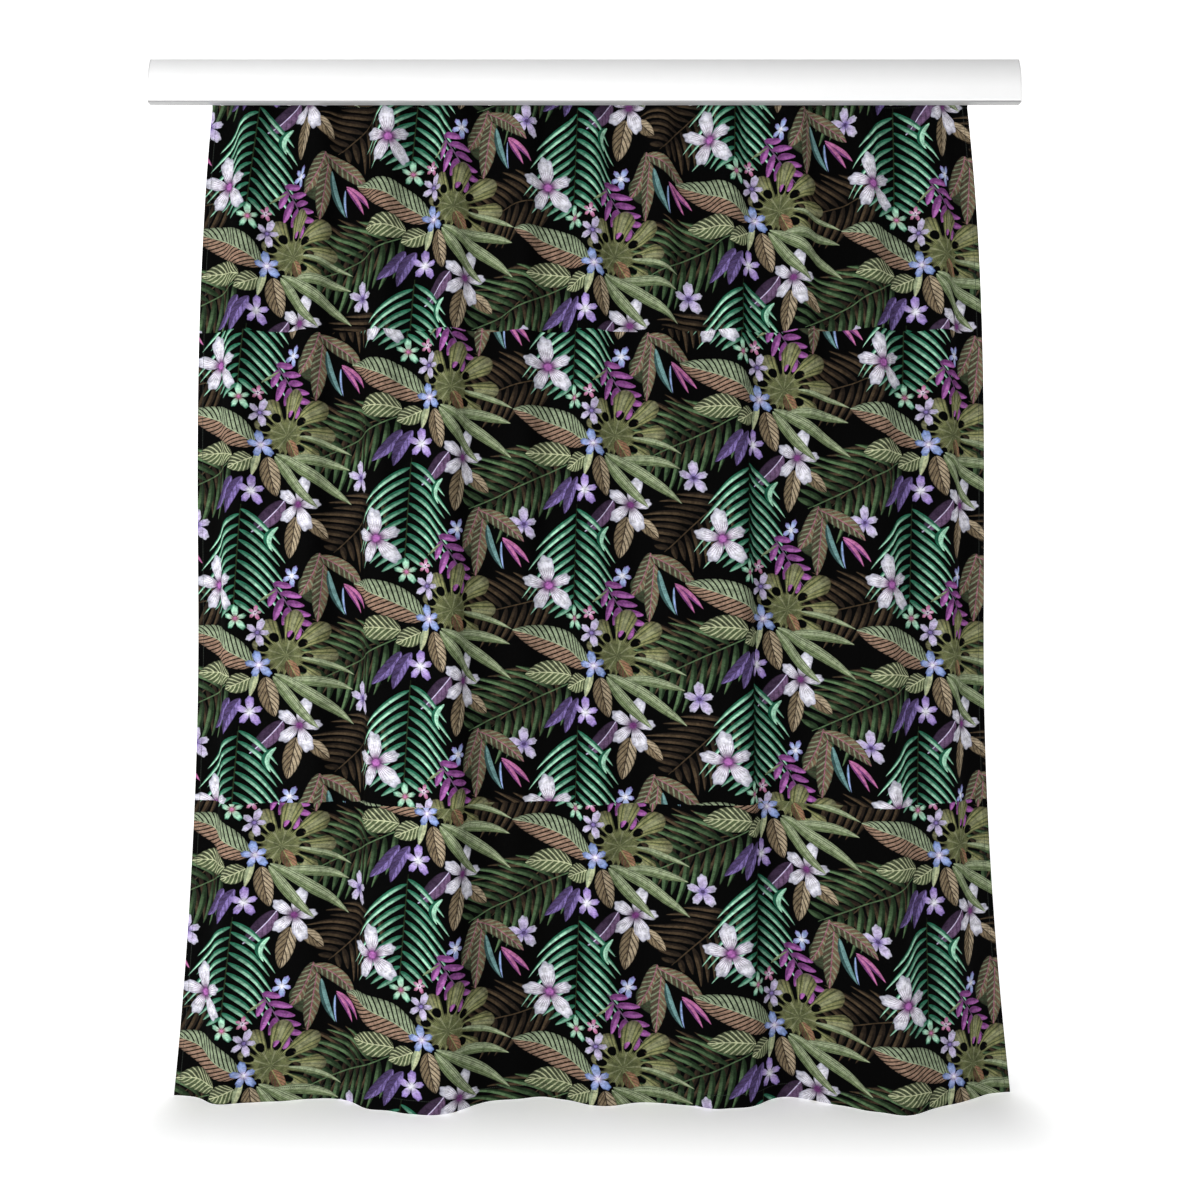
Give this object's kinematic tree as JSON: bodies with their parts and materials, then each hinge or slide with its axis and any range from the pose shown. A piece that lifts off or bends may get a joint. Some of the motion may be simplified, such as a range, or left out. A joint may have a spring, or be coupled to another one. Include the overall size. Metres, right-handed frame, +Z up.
{
  "type": "shower curtain on a ceiling rail",
  "caption": "Printed cloth curtain hung by eyelets, open rings and gliders from a ceiling rail with a rounded front cover; it draws along the rail.",
  "frame": {"origin": "middle of the rail's flat ceiling face, above the channel that the gliders run in", "axes": "+X along the rail to the right, -Y to the front where the cover is, +Z up into the ceiling"},
  "size_m": [1.7027, 0.1215, 2.0457],
  "materials": {
    "white_pvc": "smooth white, satin gloss",
    "white_nylon": "moulded white nylon",
    "steel": "bright plated steel",
    "printed_cloth": "woven polyester, printed with leaves and flowers on near black",
    "header_tape": "stiff white woven tape",
    "weight_cord": "braided sleeve over small weights"
  },
  "bodies": {
    "rail": {"rail_profile": "white_pvc", "fascia_cover": "white_pvc", "end_cap_left": "white_pvc", "end_cap_right": "white_pvc", "end_stop_left": "white_nylon", "end_stop_right": "white_nylon", "end_stop_left_screw": "steel", "end_stop_right_screw": "steel", "glider_01": "white_nylon", "ring_01": "steel", "eyelet_01": "steel", "curtain_cloth": "printed_cloth", "header_tape": "header_tape", "hem_weight_cord": "weight_cord"},
    "carrier_02": {"glider_02": "white_nylon", "ring_02": "steel", "eyelet_02": "steel"},
    "carrier_03": {"glider_03": "white_nylon", "ring_03": "steel", "eyelet_03": "steel"},
    "carrier_04": {"glider_04": "white_nylon", "ring_04": "steel", "eyelet_04": "steel"},
    "carrier_05": {"glider_05": "white_nylon", "ring_05": "steel", "eyelet_05": "steel"},
    "carrier_06": {"glider_06": "white_nylon", "ring_06": "steel", "eyelet_06": "steel"},
    "carrier_07": {"glider_07": "white_nylon", "ring_07": "steel", "eyelet_07": "steel"},
    "carrier_08": {"glider_08": "white_nylon", "ring_08": "steel", "eyelet_08": "steel"},
    "carrier_09": {"glider_09": "white_nylon", "ring_09": "steel", "eyelet_09": "steel"},
    "carrier_10": {"glider_10": "white_nylon", "ring_10": "steel", "eyelet_10": "steel"},
    "carrier_11": {"glider_11": "white_nylon", "ring_11": "steel", "eyelet_11": "steel"},
    "carrier_12": {"glider_12": "white_nylon", "ring_12": "steel", "eyelet_12": "steel"}
  },
  "joints": [
    {"name": "curtain_draw", "type": "slide", "parent": "rail", "child": "carrier_12", "axis": [-1, 0, 0], "range_m": [0, 1.176], "deforming": ["curtain_cloth", "header_tape", "hem_weight_cord"]},
    {"name": "carrier_02_slide", "type": "slide", "parent": "rail", "child": "carrier_02", "axis": [-1, 0, 0], "range_m": [0, 0.107]},
    {"name": "carrier_03_slide", "type": "slide", "parent": "rail", "child": "carrier_03", "axis": [-1, 0, 0], "range_m": [0, 0.2139]},
    {"name": "carrier_04_slide", "type": "slide", "parent": "rail", "child": "carrier_04", "axis": [-1, 0, 0], "range_m": [0, 0.3208]},
    {"name": "carrier_05_slide", "type": "slide", "parent": "rail", "child": "carrier_05", "axis": [-1, 0, 0], "range_m": [0, 0.4277]},
    {"name": "carrier_06_slide", "type": "slide", "parent": "rail", "child": "carrier_06", "axis": [-1, 0, 0], "range_m": [0, 0.5346]},
    {"name": "carrier_07_slide", "type": "slide", "parent": "rail", "child": "carrier_07", "axis": [-1, 0, 0], "range_m": [0, 0.6415]},
    {"name": "carrier_08_slide", "type": "slide", "parent": "rail", "child": "carrier_08", "axis": [-1, 0, 0], "range_m": [0, 0.7484]},
    {"name": "carrier_09_slide", "type": "slide", "parent": "rail", "child": "carrier_09", "axis": [-1, 0, 0], "range_m": [0, 0.8553]},
    {"name": "carrier_10_slide", "type": "slide", "parent": "rail", "child": "carrier_10", "axis": [-1, 0, 0], "range_m": [0, 0.9622]},
    {"name": "carrier_11_slide", "type": "slide", "parent": "rail", "child": "carrier_11", "axis": [-1, 0, 0], "range_m": [0, 1.0691]}
  ],
  "couplings": [
    {"joint": "carrier_02_slide", "follows": "curtain_draw", "ratio": 0.090909},
    {"joint": "carrier_03_slide", "follows": "curtain_draw", "ratio": 0.18182},
    {"joint": "carrier_04_slide", "follows": "curtain_draw", "ratio": 0.27273},
    {"joint": "carrier_05_slide", "follows": "curtain_draw", "ratio": 0.36364},
    {"joint": "carrier_06_slide", "follows": "curtain_draw", "ratio": 0.45455},
    {"joint": "carrier_07_slide", "follows": "curtain_draw", "ratio": 0.54545},
    {"joint": "carrier_08_slide", "follows": "curtain_draw", "ratio": 0.63636},
    {"joint": "carrier_09_slide", "follows": "curtain_draw", "ratio": 0.72727},
    {"joint": "carrier_10_slide", "follows": "curtain_draw", "ratio": 0.81818},
    {"joint": "carrier_11_slide", "follows": "curtain_draw", "ratio": 0.90909}
  ]
}
